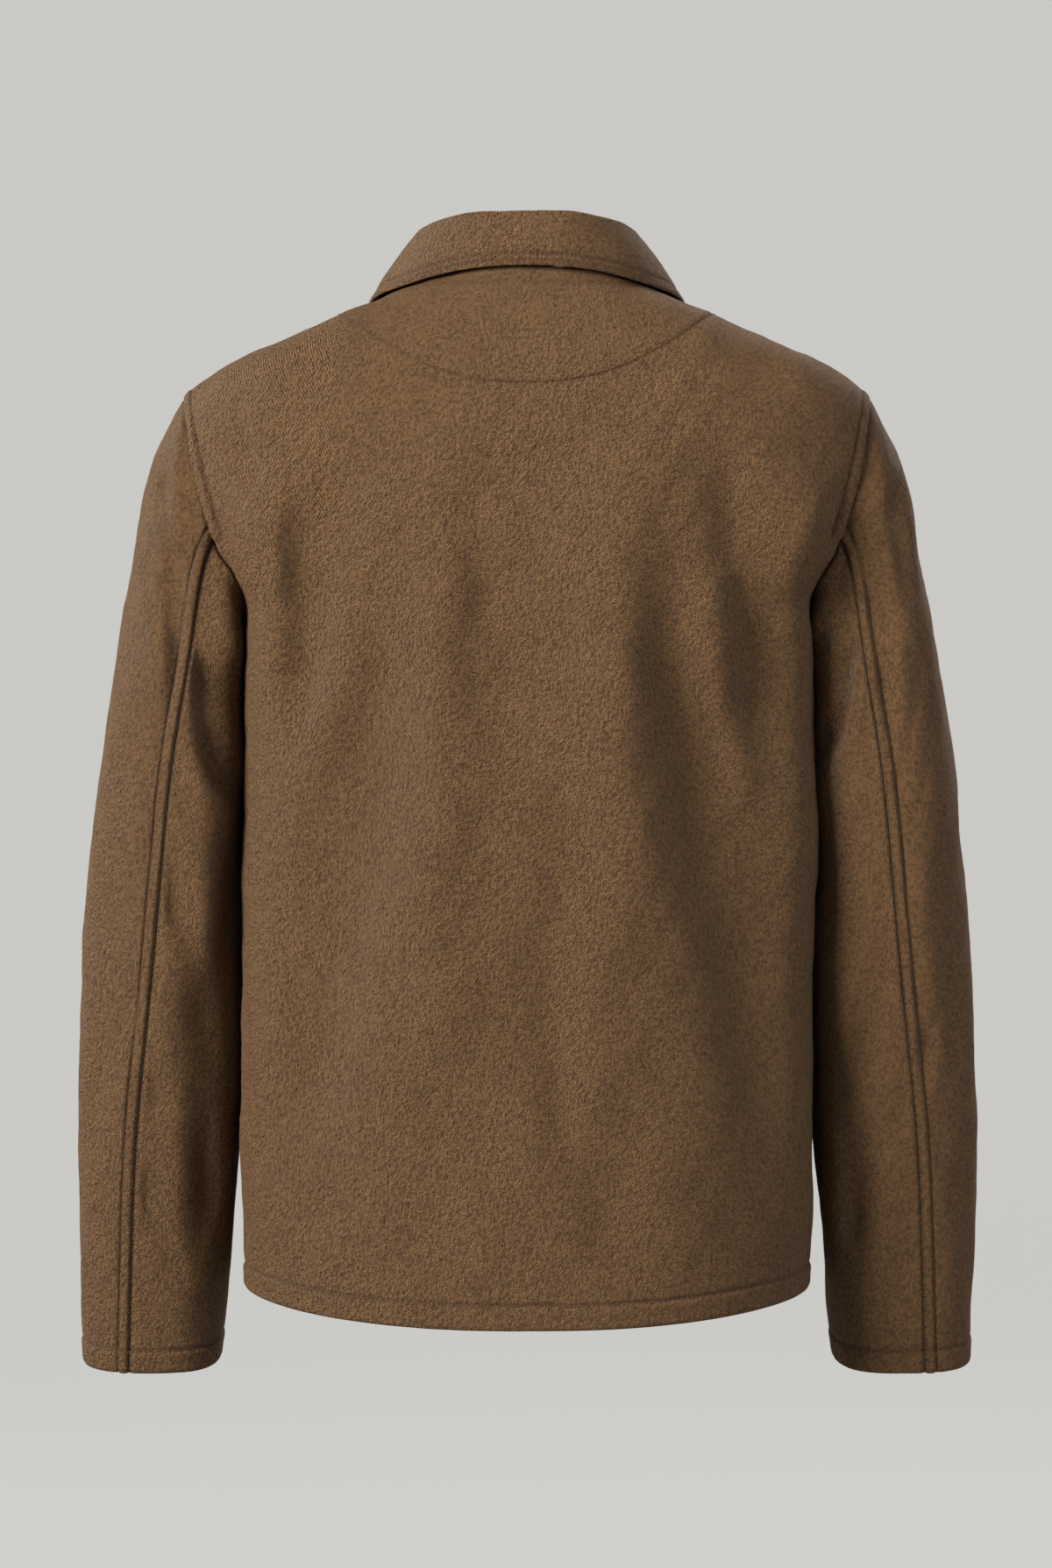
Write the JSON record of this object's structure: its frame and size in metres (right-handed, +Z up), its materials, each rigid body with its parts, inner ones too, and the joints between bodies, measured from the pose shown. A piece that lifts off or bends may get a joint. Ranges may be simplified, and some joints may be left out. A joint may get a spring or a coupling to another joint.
{
  "type": "shirt jacket",
  "caption": "Hollow brushed-wool shirt jacket with turn-down collar, back neck yoke, long two-piece sleeves and buttoned front, filled out as worn.",
  "frame": {"origin": "the middle of the neck base, on the jacket's plane of symmetry, close to the height of the points where the shoulder seams meet the collar", "axes": "+Z up along the body, -Y towards the front, +X towards the wearer's left"},
  "size_m": [0.607, 0.2687, 0.7721],
  "materials": {
    "wool": "brushed",
    "buttons": "satin"
  },
  "bodies": {
    "root": {"back": "wool", "back_yoke": "wool", "front_left": "wool", "front_right": "wool", "sleeve_left_top": "wool", "sleeve_left_under": "wool", "sleeve_right_top": "wool", "sleeve_right_under": "wool", "collar_stand": "wool", "collar_fall": "wool", "button_1": "buttons", "button_2": "buttons", "button_3": "buttons", "button_4": "buttons", "button_5": "buttons"}
  },
  "joints": []
}
